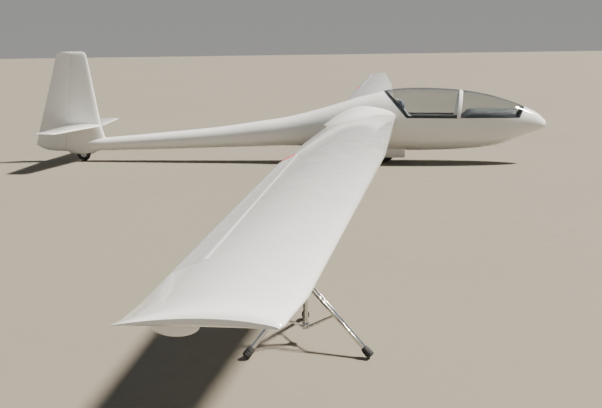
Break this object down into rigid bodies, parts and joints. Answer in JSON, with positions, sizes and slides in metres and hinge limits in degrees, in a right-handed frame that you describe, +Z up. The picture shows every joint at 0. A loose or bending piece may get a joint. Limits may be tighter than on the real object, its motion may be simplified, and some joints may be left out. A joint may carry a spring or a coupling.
{
  "type": "sailplane",
  "caption": "Single-seat glass-fibre sailplane on its main wheel and tail wheel, wing tip on a folding stand, with hinged canopy, control surfaces and airbrakes.",
  "frame": {"origin": "on the ground below the middle of the overall length and span", "axes": "+X to the nose, +Y to the left wing tip, +Z up"},
  "size_m": [7.2, 17.74, 1.56],
  "materials": {
    "gelcoat": "glossy white gelcoat",
    "clear": "clear acrylic",
    "grey": "grey paint",
    "dark": "matte dark grey",
    "black_steel": "black paint",
    "tyre": "black rubber",
    "rubber": "black rubber",
    "alloy": "satin alloy",
    "chrome": "chrome plate",
    "blue": "blue paint",
    "fabric": "woven cloth"
  },
  "bodies": {
    "airframe": {"fuselage_pod": "gelcoat", "tail_boom": "gelcoat", "fin": "gelcoat", "stabiliser_left": "gelcoat", "stabiliser_right": "gelcoat", "wing_left": "gelcoat", "wing_right": "gelcoat", "windscreen": "clear", "windscreen_frame": "dark", "main_axle": "alloy", "gear_frame": "grey", "wheel_well": "grey", "gear_door_left": "gelcoat", "gear_door_right": "gelcoat", "tail_axle": "alloy", "seat_pan": "dark", "seat_cushion": "fabric", "headrest": "fabric", "instrument_panel": "grey", "coaming": "dark", "control_stick": "dark", "airbrake_lever": "blue", "seat_shelf": "gelcoat", "stand_column": "chrome", "stand_legs": "chrome", "stand_foot_1": "rubber", "stand_foot_2": "rubber", "stand_foot_3": "rubber", "stand_cradle": "black_steel"},
    "canopy": {"canopy_frame": "dark", "canopy_glass": "clear", "canopy_arch": "gelcoat"},
    "rudder": {"rudder": "gelcoat"},
    "elevator": {"elevator_left": "gelcoat", "elevator_right": "gelcoat", "elevator_torque_tube": "alloy"},
    "aileron_left": {"aileron_left": "gelcoat"},
    "aileron_right": {"aileron_right": "gelcoat"},
    "airbrake_left": {"airbrake_left": "gelcoat"},
    "airbrake_right": {"airbrake_right": "gelcoat"},
    "main_wheel": {"main_tyre": "tyre", "main_rim": "alloy"},
    "tail_wheel": {"tail_tyre": "tyre", "tail_rim": "alloy"}
  },
  "joints": [
    {"name": "main_wheel_spin", "type": "hinge", "parent": "airframe", "child": "main_wheel", "pos_m": [1.44, 0, 0.175], "axis": [0, 1, 0], "continuous": true},
    {"name": "tail_wheel_spin", "type": "hinge", "parent": "airframe", "child": "tail_wheel", "pos_m": [-2.89, 0, 0.1], "axis": [0, 1, 0], "continuous": true},
    {"name": "canopy_hinge", "type": "hinge", "parent": "airframe", "child": "canopy", "pos_m": [2, -0.306, 0.632], "axis": [1, 0, 0], "range_deg": [0, 70]},
    {"name": "rudder_hinge", "type": "hinge", "parent": "airframe", "child": "rudder", "pos_m": [-3.168, 0, 0.15], "axis": [0.1239, 0, 0.9923], "range_deg": [-30, 30]},
    {"name": "elevator_hinge", "type": "hinge", "parent": "airframe", "child": "elevator", "pos_m": [-2.985, 0, 0.512], "axis": [0, 1, 0], "range_deg": [-20, 25]},
    {"name": "aileron_left_hinge", "type": "hinge", "parent": "airframe", "child": "aileron_left", "pos_m": [0.914, 5.27, 0.8089], "axis": [0.0392, 0.9986, 0.0356], "range_deg": [-20, 20]},
    {"name": "aileron_right_hinge", "type": "hinge", "parent": "airframe", "child": "aileron_right", "pos_m": [0.914, -5.27, 0.8089], "axis": [0.0392, -0.9986, 0.0356], "range_deg": [-20, 20]},
    {"name": "airbrake_left_slide", "type": "slide", "parent": "airframe", "child": "airbrake_left", "axis": [0, 0, 1], "range_m": [0, 0.085]},
    {"name": "airbrake_right_slide", "type": "slide", "parent": "airframe", "child": "airbrake_right", "axis": [0, 0, 1], "range_m": [0, 0.085]}
  ],
  "couplings": [
    {"joint": "aileron_right_hinge", "follows": "aileron_left_hinge", "ratio": 1},
    {"joint": "airbrake_right_slide", "follows": "airbrake_left_slide", "ratio": 1}
  ]
}
